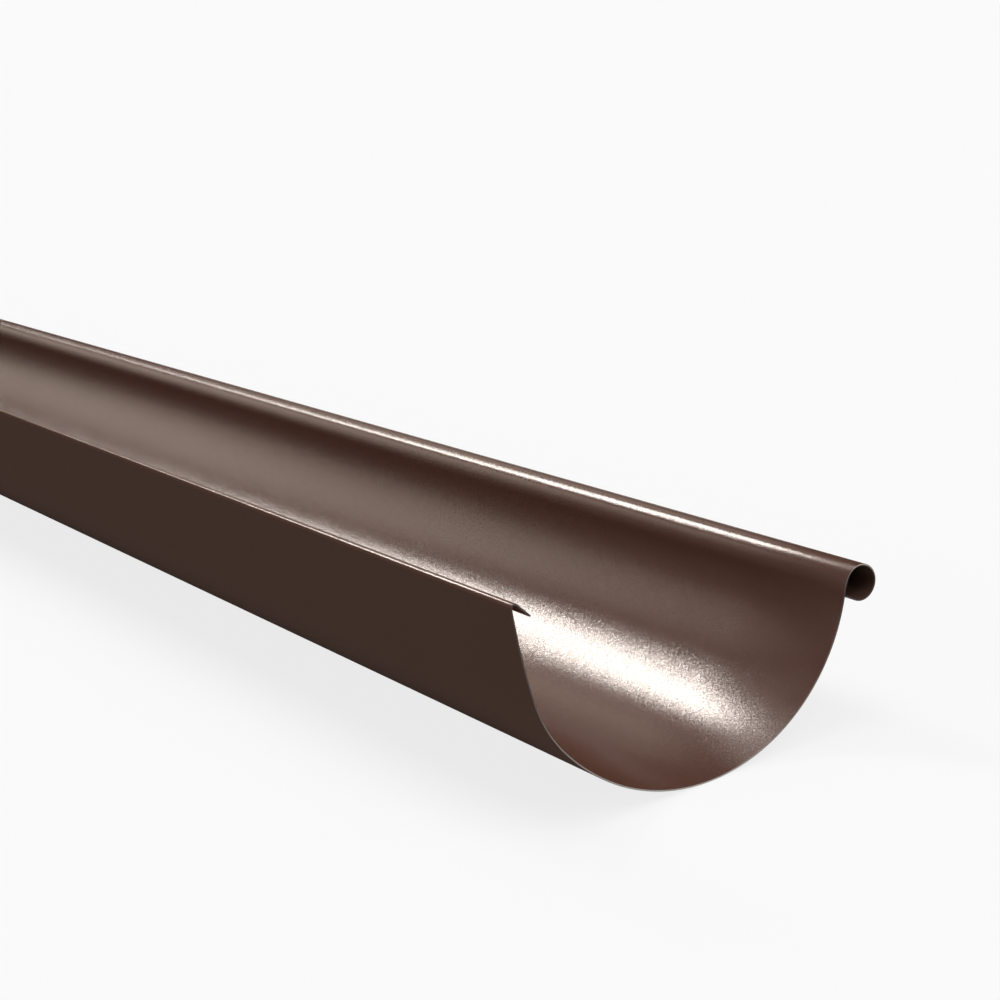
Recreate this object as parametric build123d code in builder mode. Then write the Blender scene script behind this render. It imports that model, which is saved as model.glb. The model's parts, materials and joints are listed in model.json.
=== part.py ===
from build123d import *
from dataclasses import dataclass
from math import atan2, cos, degrees, radians, sin, sqrt
import os

# A half-round steel rainwater gutter, roll-formed from one painted strip: a trough whose front edge is
# rolled outwards into a bead and whose rear edge is folded inwards into a lip. Sizes are in millimetres.
# It lies as it comes to rest on a level floor. +X runs along the gutter, +Y from the lip to the bead,
# +Z up, and the origin is on the floor under the middle of the part.

# Length of the stock and thickness of the strip
gutter_length = 3000.0
sheet = 0.6

# A lean is the angle from the upright, outwards, of the way up the wall, with the trough held mouth up.
# A radius is that of a bend's convex face, unless its name says inside.

# Trough: one arc about the section's own origin
trough_radius = 62.5
trough_front_lean = 7.3
trough_rear_lean = 64.3

# Rear flank: three bends that straighten the arc into the rear wall, each up to the lean where it ends
lower_flank_radius = 68.4
lower_flank_lean = 46.4
upper_flank_radius = 45.8
upper_flank_lean = 19.5
rear_wall_radius = 195.0
rear_wall_lean = 12.2
rear_wall_straight = 5.2

# Lip: a tight fold at the rear rim, then a strip that falls into the trough
lip_fold_inside_radius = 0.87
lip_fall = 40.0
lip_width = 6.1

# Bead: a gentle shoulder, the roll, and a tail that climbs back to the front wall and stops just off it
shoulder_radius = 19.7
shoulder_lean = 20.9
bead_radius = 6.12
tail_climb = 21.8
seam_gap = 0.3


@dataclass
class Straight:
    """A flat stretch of the strip."""

    length: float


@dataclass
class Bend:
    """A round stretch of the strip, up to the lean where it ends."""

    convex_radius: float
    end_lean: float


# The way up each side, from the trough's arc to the strip's edge
rear_side = [
    Bend(lower_flank_radius, lower_flank_lean),
    Bend(upper_flank_radius, upper_flank_lean),
    Bend(rear_wall_radius, rear_wall_lean),
    Straight(rear_wall_straight),
    Bend(lip_fold_inside_radius + sheet, -90 - lip_fall),
    Straight(lip_width),
]
front_side = [
    Bend(shoulder_radius, shoulder_lean),
    Bend(bead_radius, 270 + tail_climb),
]
FRONT = 1
REAR = -1


def heading(lean, side):
    """Direction of the way up at a lean, on the front or the rear side."""
    return side * sin(radians(lean)), cos(radians(lean))


def arc_end(radius, lean, side):
    """Point of a circle about the trough's centre where the way up has this lean."""
    return side * radius * cos(radians(lean)), -radius * sin(radians(lean))


def draw_face(start, lean, steps, side, outside):
    """Draws one face of the strip up one side of the trough, and returns where it ends."""
    point = start
    for step in steps:
        if isinstance(step, Straight):
            drawn = Line(point, Vector(*point) + Vector(*heading(lean, side)) * step.length)
        else:
            turn = step.end_lean - lean
            convex = outside == (turn < 0)
            radius = step.convex_radius if convex else step.convex_radius - sheet
            drawn = JernArc(point, heading(lean, side), radius, -side * turn)
            lean = step.end_lean
        point = (drawn @ 1).X, (drawn @ 1).Y
    return point


def distance_to_circle(point, direction, radius):
    """Distance from a point, along a direction, to the near side of a circle about the trough's centre."""
    along = point[0] * direction[0] + point[1] * direction[1]
    return -along - sqrt(along**2 - point[0] ** 2 - point[1] ** 2 + radius**2)


# Section, drawn mouth up about the trough's centre: the trough's two arcs, then both faces up each side
with BuildSketch() as section:
    with BuildLine():
        swept = 180 - trough_front_lean - trough_rear_lean
        for radius in (trough_radius, trough_radius - sheet):
            CenterArc((0, 0), radius, 180 + trough_rear_lean, swept)

        rear_edge = [
            draw_face(arc_end(radius, trough_rear_lean, REAR), trough_rear_lean, rear_side, REAR, outside)
            for radius, outside in ((trough_radius, True), (trough_radius - sheet, False))
        ]
        Line(*rear_edge)

        tail_start = [
            draw_face(arc_end(radius, trough_front_lean, FRONT), trough_front_lean, front_side, FRONT, outside)
            for radius, outside in ((trough_radius, True), (trough_radius - sheet, False))
        ]
        tail_heading = heading(270 + tail_climb, FRONT)
        tail_width = distance_to_circle(tail_start[1], tail_heading, trough_radius + seam_gap)
        tail_edge = [Line(point, Vector(*point) + Vector(*tail_heading) * tail_width) @ 1 for point in tail_start]
        Line(*tail_edge)
    make_face()

# Rest: the trough rolls towards its heavier front until its centre of mass hangs below its centre
balance = section.face().center(CenterOf.MASS)
roll = degrees(atan2(balance.X, -balance.Y))
rolled = section.sketch.rotate(Axis.Z, -roll).bounding_box()
lying = Plane(
    origin=(-gutter_length / 2, -rolled.center().X, -rolled.min.Y),
    x_dir=(0, cos(radians(roll)), -sin(radians(roll))),
    z_dir=(1, 0, 0),
)

with BuildPart() as gutter:
    with BuildSketch(lying):
        add(section.sketch)
    extrude(amount=gutter_length)
gutter.part.label = "gutter"

os.makedirs("parts", exist_ok=True)
export_step(gutter.part, "parts/gutter.step")

print(f"rolled {roll:.2f} degrees towards the bead; trough's centre at y {lying.origin.Y:.2f}, z {lying.origin.Z:.2f}")
print(f"section {section.sketch.area:.1f} mm2, tail {tail_width:.2f} mm")
print(f"volume {gutter.part.volume:.0f} mm3, box {gutter.part.bounding_box().size}")
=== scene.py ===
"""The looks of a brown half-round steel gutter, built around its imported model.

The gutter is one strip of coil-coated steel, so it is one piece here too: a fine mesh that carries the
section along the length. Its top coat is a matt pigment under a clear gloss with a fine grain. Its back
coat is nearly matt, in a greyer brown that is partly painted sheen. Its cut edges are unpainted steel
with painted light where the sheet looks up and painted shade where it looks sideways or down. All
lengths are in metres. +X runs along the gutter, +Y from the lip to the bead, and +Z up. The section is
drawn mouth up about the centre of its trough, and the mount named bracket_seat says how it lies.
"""

import json
import logging
from dataclasses import dataclass
from enum import Enum

import bpy
import numpy as np
from mathutils import Matrix, Vector


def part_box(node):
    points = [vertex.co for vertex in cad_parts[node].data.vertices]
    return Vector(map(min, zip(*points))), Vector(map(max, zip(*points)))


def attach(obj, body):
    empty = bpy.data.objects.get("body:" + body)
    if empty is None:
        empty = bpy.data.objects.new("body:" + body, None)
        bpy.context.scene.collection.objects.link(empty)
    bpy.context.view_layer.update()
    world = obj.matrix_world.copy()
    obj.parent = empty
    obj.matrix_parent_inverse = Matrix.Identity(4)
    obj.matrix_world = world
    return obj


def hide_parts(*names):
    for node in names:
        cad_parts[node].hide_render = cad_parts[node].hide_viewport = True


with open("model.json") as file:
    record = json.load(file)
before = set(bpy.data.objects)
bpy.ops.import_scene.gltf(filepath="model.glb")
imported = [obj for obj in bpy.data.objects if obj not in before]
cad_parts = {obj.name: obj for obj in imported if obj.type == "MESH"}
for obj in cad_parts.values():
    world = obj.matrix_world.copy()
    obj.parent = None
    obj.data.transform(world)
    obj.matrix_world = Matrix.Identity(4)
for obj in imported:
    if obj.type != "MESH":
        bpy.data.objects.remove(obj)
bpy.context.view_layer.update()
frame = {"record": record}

LOG = logging.getLogger("gutter")
NODE = "gutter"
BODY = "root"
PICTURE_WIDTH = 1000
MIDDLE_GREY = (0.5, 0.5, 0.5)

# Colours of the lamps, from the coolest to the warmest
WINDOW_WHITE = (1.0, 0.92, 0.86)
KEY_WHITE = (1.0, 0.92, 0.85)
FILL_WHITE = (1.0, 0.85, 0.72)


class Side(Enum):
    """The two sides of the trough, with the sign of their direction across it."""

    FRONT = 1
    REAR = -1


class Skin(Enum):
    """The two faces of the sheet, with the sign of the way out of the metal, seen from the trough."""

    OUTSIDE = 1
    INSIDE = -1


class Coat(Enum):
    """The strip's finishes, numbered as the piece's material slots."""

    TOP = 0
    BACK = 1
    BARE = 2


@dataclass(frozen=True)
class Straight:
    """A flat stretch of the strip."""

    length: float
    pieces: int


@dataclass(frozen=True)
class Bend:
    """A round stretch of the strip, up to the lean where it ends."""

    convex_radius: float
    end_lean: float
    pieces: int


def way_up(lean: float | np.ndarray, side: Side) -> np.ndarray:
    """Unit direction of the way up a side: its lean turns it outwards from the upright.

    Args:
        lean: one lean or several, in degrees.
        side: side of the trough.

    Returns:
        Array of (y, z) directions, one row for each lean.
    """
    angle = np.radians(np.atleast_1d(lean))
    return np.stack([side.value * np.sin(angle), np.cos(angle)], axis=-1)


def way_out(lean: float | np.ndarray, side: Side) -> np.ndarray:
    """Unit direction away from the trough: the way up, turned outwards by a right angle.

    Args:
        lean: one lean or several, in degrees.
        side: side of the trough.

    Returns:
        Array of (y, z) directions, one row for each lean.
    """
    angle = np.radians(np.atleast_1d(lean))
    return np.stack([side.value * np.cos(angle), -np.sin(angle)], axis=-1)


@dataclass(frozen=True)
class StripSection:
    """The rolled strip's section, drawn mouth up about the centre of the trough.

    A lean is the angle from the upright, outwards, of the way up the wall, in degrees. A radius is
    that of a bend's convex face, unless its name says inside. The fall is the lip's angle below the
    level, and the climb is the tail's angle above it. Pieces are the quads across a stretch, and the
    rim's share is the part of the lip's fold that has the top coat on its outside.
    """

    sheet: float = 0.0006
    trough_radius: float = 0.0625
    trough_front_lean: float = 7.3
    trough_rear_lean: float = 64.3
    lower_flank_radius: float = 0.0684
    lower_flank_lean: float = 46.4
    upper_flank_radius: float = 0.0458
    upper_flank_lean: float = 19.5
    rear_wall_radius: float = 0.195
    rear_wall_lean: float = 12.2
    rear_wall_straight: float = 0.0052
    lip_fold_inside_radius: float = 0.00087
    lip_fall: float = 40.0
    lip_width: float = 0.0061
    shoulder_radius: float = 0.0197
    shoulder_lean: float = 20.9
    bead_radius: float = 0.00612
    tail_climb: float = 21.8
    seam_gap: float = 0.0003
    edge_round: float = 0.00012
    rim_share: float = 0.64
    trough_pieces: int = 90
    lower_flank_pieces: int = 14
    upper_flank_pieces: int = 20
    rear_wall_pieces: int = 6
    rear_wall_straight_pieces: int = 2
    lip_fold_pieces: int = 28
    lip_pieces: int = 4
    shoulder_pieces: int = 10
    bead_pieces: int = 80
    tail_pieces: int = 3
    edge_pieces: int = 4

    def rear_side(self) -> list[Straight | Bend]:
        """Stretches of the way up the rear side.

        Returns:
            The stretches in order, from the trough's arc to the lip's edge.
        """
        return [
            Bend(self.lower_flank_radius, self.lower_flank_lean, self.lower_flank_pieces),
            Bend(self.upper_flank_radius, self.upper_flank_lean, self.upper_flank_pieces),
            Bend(self.rear_wall_radius, self.rear_wall_lean, self.rear_wall_pieces),
            Straight(self.rear_wall_straight, self.rear_wall_straight_pieces),
            Bend(self.lip_fold_inside_radius + self.sheet, -90 - self.lip_fall, self.lip_fold_pieces),
            Straight(self.lip_width, self.lip_pieces),
        ]

    def front_side(self) -> list[Straight | Bend]:
        """Stretches of the way up the front side.

        Returns:
            The stretches in order, from the trough's arc, round the bead, to the tail's edge.
        """
        tail_lean = 270 + self.tail_climb
        bead = [
            Bend(self.shoulder_radius, self.shoulder_lean, self.shoulder_pieces),
            Bend(self.bead_radius, tail_lean, self.bead_pieces),
        ]
        reached, _ = self.walk_up(bead, self.trough_front_lean, Side.FRONT, Skin.INSIDE)
        return bead + [Straight(self.tail_width(reached[-1], tail_lean), self.tail_pieces)]

    def rim_columns(self) -> int:
        """Quads of the outside face, from the lip's edge, that lie on the lip and on a share of its fold."""
        return self.edge_pieces + self.lip_pieces + round(self.lip_fold_pieces * self.rim_share)

    def skin_radius(self, skin: Skin) -> float:
        """Radius of one face of the sheet along the trough's arc."""
        return self.trough_radius if skin is Skin.OUTSIDE else self.trough_radius - self.sheet

    def tail_width(self, start: np.ndarray, lean: float) -> float:
        """Width of the bead's tail, from the roll's end to a seam's gap off the trough's circle.

        Args:
            start: (y, z) where the roll ends.
            lean: lean of the tail.

        Returns:
            Distance along the tail to the circle of the trough's radius plus the gap.
        """
        along = start @ way_up(lean, Side.FRONT)[0]
        circle = self.trough_radius + self.seam_gap
        return float(-along - np.sqrt(along**2 - start @ start + circle**2))

    def walk_up(
        self, steps: list[Straight | Bend], lean: float, side: Side, skin: Skin
    ) -> tuple[np.ndarray, np.ndarray]:
        """Points of one face up one side, from the end of the trough's arc.

        A bend's points lie on a circle about its centre, which stands off the wall along the way
        out: outwards where the wall turns outwards, inwards where it turns inwards. The face on the
        concave side is a sheet's thickness nearer to that centre.

        Args:
            steps: stretches of the strip on the way up.
            lean: lean at the end of the trough's arc.
            side: side of the trough.
            skin: face of the sheet.

        Returns:
            Points (y, z) and the lean at each, the start left out.
        """
        point = self.skin_radius(skin) * way_out(lean, side)[0]
        points, leans = [], []
        for step in steps:
            share = np.linspace(0, 1, step.pieces + 1)[1:]
            if isinstance(step, Straight):
                points.append(point + way_up(lean, side) * step.length * share[:, None])
                leans.append(np.full(step.pieces, float(lean)))
            else:
                turn = step.end_lean - lean
                convex = (skin is Skin.OUTSIDE) == (turn < 0)
                bend_radius = step.convex_radius if convex else step.convex_radius - self.sheet
                reach = np.sign(turn) * bend_radius
                centre = point + way_out(lean, side)[0] * reach
                turned = lean + turn * share
                points.append(centre - way_out(turned, side) * reach)
                leans.append(turned)
                lean = step.end_lean
            point = points[-1][-1]
        return np.concatenate(points), np.concatenate(leans)

    def rounded_edge(
        self, corner: np.ndarray, up: np.ndarray, out: np.ndarray
    ) -> tuple[np.ndarray, np.ndarray]:
        """Quarter circle that eases one corner of the strip's edge.

        Each point is the circle's centre plus its radius times the direction that turns from the
        way out of the face to the way past the edge.

        Args:
            corner: (y, z) of the sharp corner.
            up: direction past the strip's edge.
            out: direction out of the face.

        Returns:
            Points (y, z) and the directions out of the metal there.
        """
        turn = np.linspace(0, np.pi / 2, self.edge_pieces + 1)[:, None]
        away = np.cos(turn) * out + np.sin(turn) * up
        return corner - self.edge_round * (up + out) + self.edge_round * away, away

    def face(self, skin: Skin) -> tuple[np.ndarray, np.ndarray]:
        """Points of one face from the lip's edge, through the trough, to the tail's edge.

        Args:
            skin: face of the sheet.

        Returns:
            Points (y, z) and the directions out of the metal there.
        """
        halves = []
        for side, steps, lean in (
            (Side.REAR, self.rear_side(), self.trough_rear_lean),
            (Side.FRONT, self.front_side(), self.trough_front_lean),
        ):
            points, leans = self.walk_up(steps, lean, side, skin)
            outward = way_out(leans, side) * skin.value
            edge, edge_outward = self.rounded_edge(points[-1], way_up(leans[-1], side)[0], outward[-1])
            halves.append(
                (np.concatenate([points[:-1], edge]), np.concatenate([outward[:-1], edge_outward]))
            )
        ends = 180 + self.trough_rear_lean, 360 - self.trough_front_lean
        turn = np.radians(np.linspace(*ends, self.trough_pieces + 1))
        arc = np.stack([np.cos(turn), np.sin(turn)], axis=-1)
        (rear, rear_outward), (front, front_outward) = halves
        points = np.concatenate([rear[::-1], self.skin_radius(skin) * arc, front])
        outward = np.concatenate([rear_outward[::-1], skin.value * arc, front_outward])
        return points, outward


@dataclass(frozen=True)
class Rest:
    """How the section lies on the floor: turned about the length, with the trough's centre above it."""

    centre: Vector
    down: Vector

    @classmethod
    def from_seat(cls, section: StripSection) -> "Rest":
        """Reads the mount under the trough: its axis points from the trough's centre to the seat.

        Args:
            section: the section, for the trough's radius.

        Returns:
            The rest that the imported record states.
        """
        seat = next(m for m in frame["record"]["mounts"] if m["name"] == "bracket_seat")
        down = Vector(seat["axis"]).normalized()
        return cls(Vector(seat["pos_m"]) - down * section.trough_radius, down)

    def turn(self) -> np.ndarray:
        """Matrix from the section's frame, mouth up, to the frame of the part as it lies."""
        up = -self.down
        return np.array([[1, 0, 0], [0, up.z, up.y], [0, -up.y, up.z]])

    def place(self, points: np.ndarray) -> np.ndarray:
        """Points of the section's frame, turned and moved to where the part lies."""
        return points @ self.turn().T + np.array([0, self.centre.y, self.centre.z])

    def aim(self, direction: tuple[float, float, float]) -> Vector:
        """A direction of the section's frame, turned with the part."""
        return Vector(self.turn() @ np.array(direction))


class Nodes:
    """A short hand for building one node tree."""

    def __init__(self, tree: bpy.types.NodeTree) -> None:
        """Empties the tree.

        Args:
            tree: node tree of a material or a world.
        """
        self.tree = tree
        tree.nodes.clear()

    def add(self, kind: str, inputs: dict | None = None, **settings: object) -> bpy.types.Node:
        """Adds a node, with its settings and its inputs.

        Args:
            kind: the node's type name.
            inputs: values or output sockets, by input name or number.
            settings: the node's own properties.

        Returns:
            The new node.
        """
        node = self.tree.nodes.new(kind)
        for name, value in settings.items():
            setattr(node, name, value)
        for key, value in (inputs or {}).items():
            if isinstance(value, bpy.types.NodeSocket):
                self.tree.links.new(value, node.inputs[key])
            else:
                node.inputs[key].default_value = value
        return node


@dataclass(frozen=True)
class CoilPaint:
    """Chocolate brown coil coating: a matt pigment under a clear gloss with a fine grain.

    Where the paint is seen in a reflection it has less gloss, so that one side of the trough doesn't
    mirror the highlights of the other.
    """

    name: str
    dark: tuple[float, float, float]
    light: tuple[float, float, float]
    gloss: float
    roughness: float
    grain_slope: float
    gloss_ior: float = 1.67
    grain_size: float = 0.00032
    grain_shade: float = 0.5
    gloss_play: float = 0.04
    gloss_mirrored: float = 0.2
    cloud_size: float = 0.12
    cloud_detail: float = 3.0

    def material(self) -> bpy.types.Material:
        """Paint whose colour and gloss drift slowly, with the grain as bump in the gloss.

        Returns:
            The material.
        """
        material = bpy.data.materials.new(self.name)
        material.use_nodes = True
        nodes = Nodes(material.node_tree)
        place = nodes.add("ShaderNodeTexCoord").outputs["Object"]
        cloud = nodes.add(
            "ShaderNodeTexNoise",
            {"Vector": place, "Scale": 1 / self.cloud_size, "Detail": self.cloud_detail},
        )
        grains = nodes.add("ShaderNodeTexVoronoi", {"Vector": place, "Scale": 1 / self.grain_size})
        shade = nodes.add(
            "ShaderNodeMix",
            {"Factor": self.grain_shade, "A": cloud.outputs["Fac"], "B": grains.outputs["Color"]},
        )
        colour = nodes.add(
            "ShaderNodeMix",
            {"Factor": shade.outputs["Result"], "A": (*self.dark, 1), "B": (*self.light, 1)},
            data_type="RGBA",
        )
        gloss = nodes.add(
            "ShaderNodeMapRange",
            {
                "Value": cloud.outputs["Fac"],
                "To Min": self.gloss * (1 - self.gloss_play),
                "To Max": self.gloss * (1 + self.gloss_play),
            },
        )
        ray = nodes.add("ShaderNodeLightPath")
        share = nodes.add(
            "ShaderNodeMapRange",
            {"Value": ray.outputs["Is Glossy Ray"], "To Min": 1.0, "To Max": self.gloss_mirrored},
        )
        weight = nodes.add(
            "ShaderNodeMath",
            {0: gloss.outputs["Result"], 1: share.outputs["Result"]},
            operation="MULTIPLY",
        )
        bump = nodes.add(
            "ShaderNodeBump",
            {"Height": self.tilted(nodes, place, grains), "Distance": self.grain_slope, "Strength": 1.0},
        )
        shader = nodes.add(
            "ShaderNodeBsdfPrincipled",
            {
                "Base Color": colour.outputs["Result"],
                "Roughness": self.roughness,
                "Specular IOR Level": 0.0,
                "Coat Weight": weight.outputs["Value"],
                "Coat Roughness": self.roughness,
                "Coat IOR": self.gloss_ior,
                "Coat Normal": bump.outputs["Normal"],
            },
        )
        nodes.add("ShaderNodeOutputMaterial", {"Surface": shader.outputs["BSDF"]})
        return material

    def tilted(
        self, nodes: Nodes, place: bpy.types.NodeSocket, grains: bpy.types.Node
    ) -> bpy.types.NodeSocket:
        """Height of flat grains, each tilted its own way.

        The height is the way from the grain's middle times the grain's random tilt.

        Args:
            nodes: node tree of the paint.
            place: where the surface is.
            grains: the texture that parts the surface into grains.

        Returns:
            The height's socket, for a slope of one.
        """
        offset = nodes.add(
            "ShaderNodeVectorMath", {0: place, 1: grains.outputs["Position"]}, operation="SUBTRACT"
        )
        tilt = nodes.add(
            "ShaderNodeVectorMath", {0: grains.outputs["Color"], 1: MIDDLE_GREY}, operation="SUBTRACT"
        )
        height = nodes.add(
            "ShaderNodeVectorMath",
            {0: offset.outputs["Vector"], 1: tilt.outputs["Vector"]},
            operation="DOT_PRODUCT",
        )
        return height.outputs["Value"]


TOP_COAT = CoilPaint(
    name="top_coat",
    dark=(0.0510, 0.0224, 0.0157),
    light=(0.0750, 0.0330, 0.0231),
    gloss=0.96,
    roughness=0.2,
    grain_slope=0.08,
)
# The back coat's greyer, slightly paler brown is partly painted sheen, in place of the reflection its
# near-matt gloss leaves out.
BACK_COAT_AND_SHEEN = CoilPaint(
    name="back_coat_and_sheen",
    dark=(0.0570, 0.0328, 0.0255),
    light=(0.0650, 0.0374, 0.0291),
    gloss=0.02,
    roughness=0.35,
    grain_slope=0.1,
)


@dataclass(frozen=True)
class SawnSteel:
    """The strip's cut edge: unpainted steel, lighter as painted light where the sheet looks up, and dark as
    painted shade where it looks sideways or down.
    """

    name: str = "sawn_edge"
    # The first colour is unpainted steel lit by painted light from above; the second is painted shade.
    bare_lit_steel: tuple[float, float, float] = (0.33, 0.31, 0.29)
    painted_shade: tuple[float, float, float] = (0.02, 0.012, 0.01)
    roughness: float = 0.5
    attribute: str = "cut_painted_light"
    level: float = 0.35
    upward: float = 0.75
    sideways: float = 0.5
    streak_size: float = 0.0006
    streak_least: float = 0.8
    streak_most: float = 1.1

    def painted_light_share(self, inner_out: np.ndarray) -> np.ndarray:
        """Share of painted light on the cut, from how the sheet's inside face looks there.

        The share is a level, plus a part of how far the face looks up, less a part of how far it
        looks to either side, held between none and all: painted light where the face looks up, painted
        shade elsewhere.

        Args:
            inner_out: ways out of the inside face, as (y, z).

        Returns:
            A share for each way out.
        """
        looks_sideways, looks_up = inner_out.T
        share = self.level + self.upward * looks_up - self.sideways * np.abs(looks_sideways)
        return np.clip(share, 0, 1).astype(np.float32)

    def material(self) -> bpy.types.Material:
        """Lit steel and painted shade mixed by the mesh's share of painted light, broken up by the saw's
        streaks.

        Returns:
            The material.
        """
        material = bpy.data.materials.new(self.name)
        material.use_nodes = True
        nodes = Nodes(material.node_tree)
        share = nodes.add("ShaderNodeAttribute", attribute_name=self.attribute).outputs["Fac"]
        place = nodes.add("ShaderNodeTexCoord").outputs["Object"]
        streaks = nodes.add("ShaderNodeTexNoise", {"Vector": place, "Scale": 1 / self.streak_size})
        uneven = nodes.add(
            "ShaderNodeMapRange",
            {"Value": streaks.outputs["Fac"], "To Min": self.streak_least, "To Max": self.streak_most},
        )
        factor = nodes.add(
            "ShaderNodeMath", {0: share, 1: uneven.outputs["Result"]}, operation="MULTIPLY"
        )
        colour = nodes.add(
            "ShaderNodeMix",
            {"Factor": factor.outputs["Value"], "A": (*self.painted_shade, 1), "B": (*self.bare_lit_steel, 1)},
            data_type="RGBA",
        )
        shader = nodes.add(
            "ShaderNodeBsdfPrincipled",
            {"Base Color": colour.outputs["Result"], "Roughness": self.roughness},
        )
        nodes.add("ShaderNodeOutputMaterial", {"Surface": shader.outputs["BSDF"]})
        return material


@dataclass
class GutterLength:
    """One sold length of gutter: the section carried along X, closed at both sawn ends."""

    section: StripSection
    rest: Rest
    top_coat: CoilPaint
    back_coat_and_sheen: CoilPaint
    cut: SawnSteel
    length: float
    stations: int = 61
    saw_round: float = 0.0001
    saw_pieces: int = 3
    name: str = "gutter_strip"

    def rings(self) -> tuple[np.ndarray, np.ndarray]:
        """Places along X of the rings of points, and how far each ring shrinks into the sheet.

        The saw's edge is a quarter circle: a ring turned by t from the flat skin lies the round
        times sin t beyond where the round starts, and shrinks by the round times 1 - cos t.

        Returns:
            Places along X and the depths, from one end to the other.
        """
        turn = np.linspace(0, np.pi / 2, self.saw_pieces + 1)
        reach = self.length / 2 - self.saw_round + self.saw_round * np.sin(turn)
        depth = self.saw_round * (1 - np.cos(turn))
        middle = np.linspace(-reach[0], reach[0], self.stations)
        places = np.concatenate([-reach[:0:-1], middle, reach[1:]])
        depths = np.concatenate([depth[:0:-1], np.zeros(self.stations), depth[1:]])
        return places, depths

    def skin_quads(self, rings: int, columns: int) -> np.ndarray:
        """Quads between neighbouring rings, ring by ring and column by column.

        Args:
            rings: rings of points along the length.
            columns: points of a ring.

        Returns:
            Point numbers, four for each quad.
        """
        ring, column = np.meshgrid(np.arange(rings - 1), np.arange(columns), indexing="ij")
        following = (column + 1) % columns
        corners = [
            ring * columns + column,
            ring * columns + following,
            (ring + 1) * columns + following,
            (ring + 1) * columns + column,
        ]
        return np.stack(corners, axis=-1).reshape(-1, 4)

    def end_quads(self, rings: int, columns: int) -> np.ndarray:
        """Ladders of quads across the sheet that close the first ring and the last one.

        Args:
            rings: rings of points along the length.
            columns: points of a ring, half of them on each face of the sheet.

        Returns:
            Point numbers, four for each quad.
        """
        rung = np.arange(columns // 2 - 1)
        opposite = columns - 1 - rung
        ladder = np.stack([rung, opposite, opposite - 1, rung + 1], axis=-1)
        far_ladder = ladder[:, ::-1] + (rings - 1) * columns
        return np.concatenate([ladder, far_ladder])

    def edge_columns(self, count: int) -> np.ndarray:
        """Columns of a ring whose quads lie on the strip's two edges.

        Args:
            count: points of one face.

        Returns:
            Column numbers.
        """
        edge = self.section.edge_pieces
        tail = np.arange(count - 1 - edge, count + edge)
        lip = np.arange(2 * count - 1 - edge, 2 * count + edge) % (2 * count)
        return np.concatenate([tail, lip])

    def finishes(self, depths: np.ndarray, columns: int) -> tuple[np.ndarray, np.ndarray]:
        """Finish of every quad, and which quads are shaded flat.

        The strip's edges and both ends take the cut's finish, and the outside past the rim has the back
        coat. The strip's edges, the ends and the saw's eased edges are flat.

        Args:
            depths: how far each ring shrinks into the sheet.
            columns: points of a ring.

        Returns:
            Slot numbers and marks for flat shading, in the order of the quads.
        """
        column = np.tile(np.arange(columns), len(depths) - 1)
        on_edge = np.isin(column, self.edge_columns(columns // 2))
        on_back = (column >= self.section.rim_columns()) & (column < columns // 2)
        eased = np.repeat(depths[:-1] + depths[1:] > 0, columns)
        end_count = 2 * (columns // 2 - 1)
        coats = np.where(on_back, Coat.BACK.value, Coat.TOP.value)
        skin_slots = np.where(on_edge, Coat.BARE.value, coats)
        slots = np.concatenate([skin_slots, np.full(end_count, Coat.BARE.value)])
        flat = np.concatenate([on_edge | eased, np.ones(end_count, bool)])
        return slots.astype(np.int32), flat

    def mesh(self) -> bpy.types.Mesh:
        """Carries the closed section along X and closes both ends.

        The point of ring i and column j is the section's point j, drawn in by the ring's depth along
        the way out of the metal, at the ring's place along X.

        Returns:
            The mesh, with its slots, its flat faces and the cut's share of painted light.
        """
        outer, outer_out = self.section.face(Skin.OUTSIDE)
        inner, inner_out = self.section.face(Skin.INSIDE)
        loop = np.concatenate([outer, inner[::-1]])
        outward = np.concatenate([outer_out, inner_out[::-1]])
        places, depths = self.rings()
        drawn = loop[None] - depths[:, None, None] * outward[None]
        along = np.broadcast_to(places[:, None, None], (len(places), len(loop), 1))
        points = self.rest.place(np.concatenate([along, drawn], axis=-1).reshape(-1, 3))
        quads = np.concatenate(
            [self.skin_quads(len(places), len(loop)), self.end_quads(len(places), len(loop))]
        )
        slots, flat = self.finishes(depths, len(loop))
        # Painted light and shade on the cut edge: its share of the lit colour, from how the inside face
        # looks up.
        share = self.cut.painted_light_share(inner_out)
        ring_shares = np.concatenate([share, share[::-1]])

        mesh = bpy.data.meshes.new(self.name)
        mesh.from_pydata(points.tolist(), [], quads.tolist())
        mesh.polygons.foreach_set("use_smooth", ~flat)
        mesh.polygons.foreach_set("material_index", slots)
        shares = mesh.attributes.new(self.cut.attribute, "FLOAT", "POINT")
        shares.data.foreach_set("value", np.tile(ring_shares, len(places)))
        mesh.update()
        mesh.validate()
        return mesh

    def build(self) -> bpy.types.Object:
        """Makes the piece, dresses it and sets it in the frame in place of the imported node.

        Returns:
            The piece.
        """
        piece = bpy.data.objects.new(self.name, self.mesh())
        bpy.context.scene.collection.objects.link(piece)
        for finish in (self.top_coat, self.back_coat_and_sheen, self.cut):
            piece.data.materials.append(finish.material())
        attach(piece, BODY)
        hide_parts(NODE)
        LOG.info("%s: %d faces, %.3f m long", self.name, len(piece.data.polygons), self.length)
        return piece


def seen_directly(nodes: Nodes) -> bpy.types.NodeSocket:
    """One for rays from the camera and for those that gloss or glass sends on, none for diffuse light.

    Args:
        nodes: node tree of a material.

    Returns:
        The socket that holds it.
    """
    ray = nodes.add("ShaderNodeLightPath")
    seen = ray.outputs["Is Camera Ray"]
    for kind in ("Is Glossy Ray", "Is Transmission Ray"):
        either = nodes.add("ShaderNodeMath", {0: seen, 1: ray.outputs[kind]}, operation="MAXIMUM")
        seen = either.outputs["Value"]
    return seen


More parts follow.
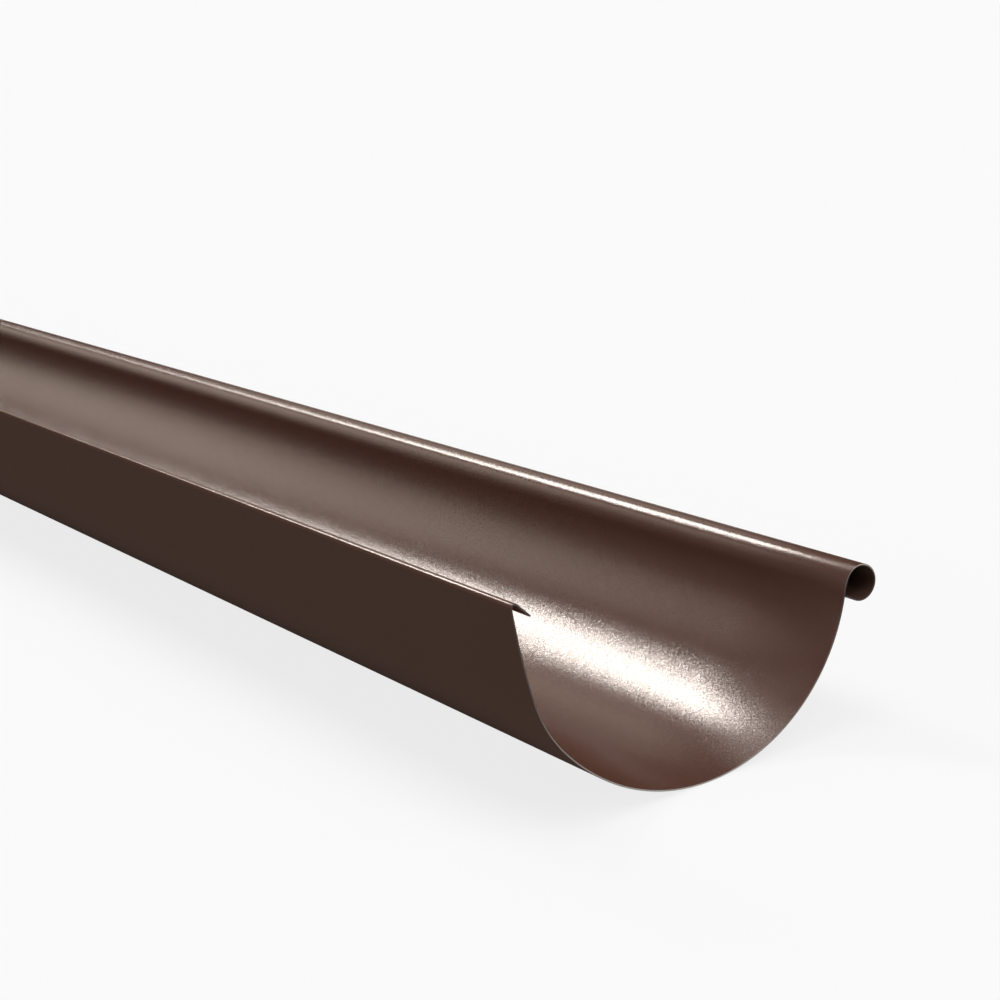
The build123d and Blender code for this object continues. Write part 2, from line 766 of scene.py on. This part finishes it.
@dataclass(frozen=True)
class Floor:
    """A plain pale floor, wide enough to reach past every view.

    A share of what is seen of it glows white, like a backlit table, which lightens the shadow on it.
    """

    width: float = 400.0
    colour: tuple[float, float, float] = (0.58, 0.633, 0.679)
    roughness: float = 0.9
    glow: float = 0.82
    glow_strength: float = 0.98

    def material(self) -> bpy.types.Material:
        """Matt and pale, mixed with the white glow where it is seen.

        Returns:
            The material.
        """
        material = bpy.data.materials.new("pale_floor")
        material.use_nodes = True
        nodes = Nodes(material.node_tree)
        matt = nodes.add(
            "ShaderNodeBsdfPrincipled",
            {"Base Color": (*self.colour, 1), "Roughness": self.roughness, "Specular IOR Level": 0.0},
        )
        white = nodes.add("ShaderNodeEmission", {"Color": (1, 1, 1, 1), "Strength": self.glow_strength})
        share = nodes.add(
            "ShaderNodeMath", {0: seen_directly(nodes), 1: self.glow}, operation="MULTIPLY"
        )
        mixed = nodes.add(
            "ShaderNodeMixShader",
            {0: share.outputs["Value"], 1: matt.outputs["BSDF"], 2: white.outputs["Emission"]},
        )
        nodes.add("ShaderNodeOutputMaterial", {"Surface": mixed.outputs["Shader"]})
        return material

    def build(self) -> bpy.types.Object:
        """Makes the floor under the gutter.

        Returns:
            The floor.
        """
        half = self.width / 2
        corners = [(-half, -half, 0), (half, -half, 0), (half, half, 0), (-half, half, 0)]
        mesh = bpy.data.meshes.new("floor")
        mesh.from_pydata(corners, [], [(0, 1, 2, 3)])
        mesh.materials.append(self.material())
        floor = bpy.data.objects.new("floor", mesh)
        bpy.context.scene.collection.objects.link(floor)
        LOG.info("floor: %.0f m wide", self.width)
        return floor


@dataclass(frozen=True)
class Lamp:
    """A large soft lamp far away, so that it lights the whole length alike.

    Its direction is in the section's frame, from the gutter to the lamp, and its size is the angle
    that it takes up, in degrees.
    """

    name: str
    direction: tuple[float, float, float]
    size: float
    strength: float
    colour: tuple[float, float, float] = WINDOW_WHITE

    def build(self, rest: Rest) -> None:
        """Hangs the lamp, turned with the part.

        Args:
            rest: how the part lies.
        """
        light = bpy.data.lights.new(self.name, "SUN")
        light.angle = np.radians(self.size)
        light.color = self.colour
        light.energy = self.strength
        lamp = bpy.data.objects.new(self.name, light)
        bpy.context.scene.collection.objects.link(lamp)
        towards = rest.aim(self.direction).normalized()
        lamp.rotation_mode = "QUATERNION"
        lamp.rotation_quaternion = towards.to_track_quat("Z", "Y")
        LOG.info("%s: strength %.2f", self.name, self.strength)


def round_the_length(slant: float, turn: float) -> tuple[float, float, float]:
    """Direction from the gutter that slants back along it.

    Args:
        slant: share of the direction that lies along the length, towards the far end.
        turn: angle about the length in degrees, from the front's side upwards.

    Returns:
        Unit direction in the section's frame.
    """
    angle = np.radians(turn)
    across = np.sqrt(1 - slant**2)
    return -slant, float(across * np.cos(angle)), float(across * np.sin(angle))


@dataclass(frozen=True)
class Studio:
    """The soft light of a studio: a dim room, a long softbox overhead, and windows and fills around it.

    The softbox is a row of lamps that slants away from the gutter's near end, over its rear side.
    """

    room: float = 0.05
    lamps: tuple[Lamp, ...] = (
        Lamp("softbox_1", round_the_length(0.73, 98), 12.0, 0.51, KEY_WHITE),
        Lamp("softbox_2", round_the_length(0.78, 95), 11.0, 0.30, KEY_WHITE),
        Lamp("softbox_3", round_the_length(0.82, 108), 10.0, 0.45, KEY_WHITE),
        Lamp("softbox_4", round_the_length(0.86, 106), 9.0, 0.08, KEY_WHITE),
        Lamp("end_window", round_the_length(-0.85, 90), 30.0, 1.0),
        Lamp("near_window", round_the_length(-0.5, 90), 30.0, 1.3),
        Lamp("side_window", round_the_length(0.0, 100), 30.0, 1.3),
        Lamp("top_window", round_the_length(0.45, 90), 30.0, 0.25),
        Lamp("rear_window", round_the_length(0.2, 163), 24.0, 0.6),
        Lamp("low_rear_window", round_the_length(0.2, 184), 8.0, 0.25),
        Lamp("rear_fill", round_the_length(0.88, 148), 20.0, 0.105, FILL_WHITE),
        Lamp("near_rear_fill", round_the_length(0.75, 148), 20.0, 0.055, FILL_WHITE),
        Lamp("far_rear_fill", round_the_length(0.92, 135), 20.0, 0.05, FILL_WHITE),
        Lamp("front_fill", round_the_length(0.80, 58), 18.0, 0.045, FILL_WHITE),
        Lamp("low_front_fill", round_the_length(0.84, 25), 18.0, 0.015, FILL_WHITE),
        Lamp("wide_fill", round_the_length(0.84, 80), 30.0, 0.07, FILL_WHITE),
    )

    def build(self, rest: Rest) -> None:
        """Sets the room's light and hangs the lamps.

        Args:
            rest: how the part lies.
        """
        world = bpy.data.worlds.new("studio")
        bpy.context.scene.world = world
        world.use_nodes = True
        nodes = Nodes(world.node_tree)
        background = nodes.add(
            "ShaderNodeBackground", {"Color": (*WINDOW_WHITE, 1), "Strength": self.room}
        )
        nodes.add("ShaderNodeOutputWorld", {"Surface": background.outputs["Background"]})
        for lamp in self.lamps:
            lamp.build(rest)
        LOG.info("studio: room %.2f, %d lamps", self.room, len(self.lamps))


@dataclass(frozen=True)
class Viewpoint:
    """The photograph's camera. Its place and its angles are in the section's frame, about the near end.

    The sensor is in millimetres, as Blender has it, and the angles are in degrees.
    """

    place: tuple[float, float, float] = (0.5336, -0.39956, 0.1593)
    azimuth: float = 58.12
    elevation: float = 11.15
    focal_pixels: float = 2248.4
    sensor: float = 36.0
    nearest: float = 0.01
    furthest: float = 500.0

    def build(self, rest: Rest, near_end: float) -> bpy.types.Object:
        """Makes the camera, turned with the part, so that the picture shows the mouth level.

        Args:
            rest: how the part lies.
            near_end: place along X of the end that the camera looks at.

        Returns:
            The scene's camera.
        """
        azimuth, elevation = np.radians([self.azimuth, self.elevation])
        level = np.cos(elevation)
        back = Vector((level * np.sin(azimuth), -level * np.cos(azimuth), np.sin(elevation)))
        right = Vector((np.cos(azimuth), np.sin(azimuth), 0))
        axes = Matrix([rest.aim(axis) for axis in (right, back.cross(right), back)]).transposed()
        data = bpy.data.cameras.new("camera")
        data.sensor_width = self.sensor
        data.lens = self.focal_pixels * self.sensor / PICTURE_WIDTH
        data.clip_start = self.nearest
        data.clip_end = self.furthest
        camera = bpy.data.objects.new("camera", data)
        bpy.context.scene.collection.objects.link(camera)
        place = rest.place(np.array([self.place])) + np.array([near_end, 0, 0])
        camera.matrix_world = Matrix.Translation(Vector(place[0])) @ axes.to_4x4()
        bpy.context.scene.camera = camera
        LOG.info("camera: %.1f mm lens", data.lens)
        return camera


def main() -> None:
    """Builds the gutter, the floor, the light and the camera."""
    logging.basicConfig(level=logging.INFO, format="%(name)s: %(message)s")
    low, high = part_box(NODE)
    section = StripSection()
    rest = Rest.from_seat(section)
    GutterLength(section, rest, TOP_COAT, BACK_COAT_AND_SHEEN, SawnSteel(), high.x - low.x).build()
    Floor().build()
    Studio().build(rest)
    Viewpoint().build(rest, high.x)
    bpy.context.scene.view_settings.view_transform = "Standard"


if __name__ == "__main__":
    main()
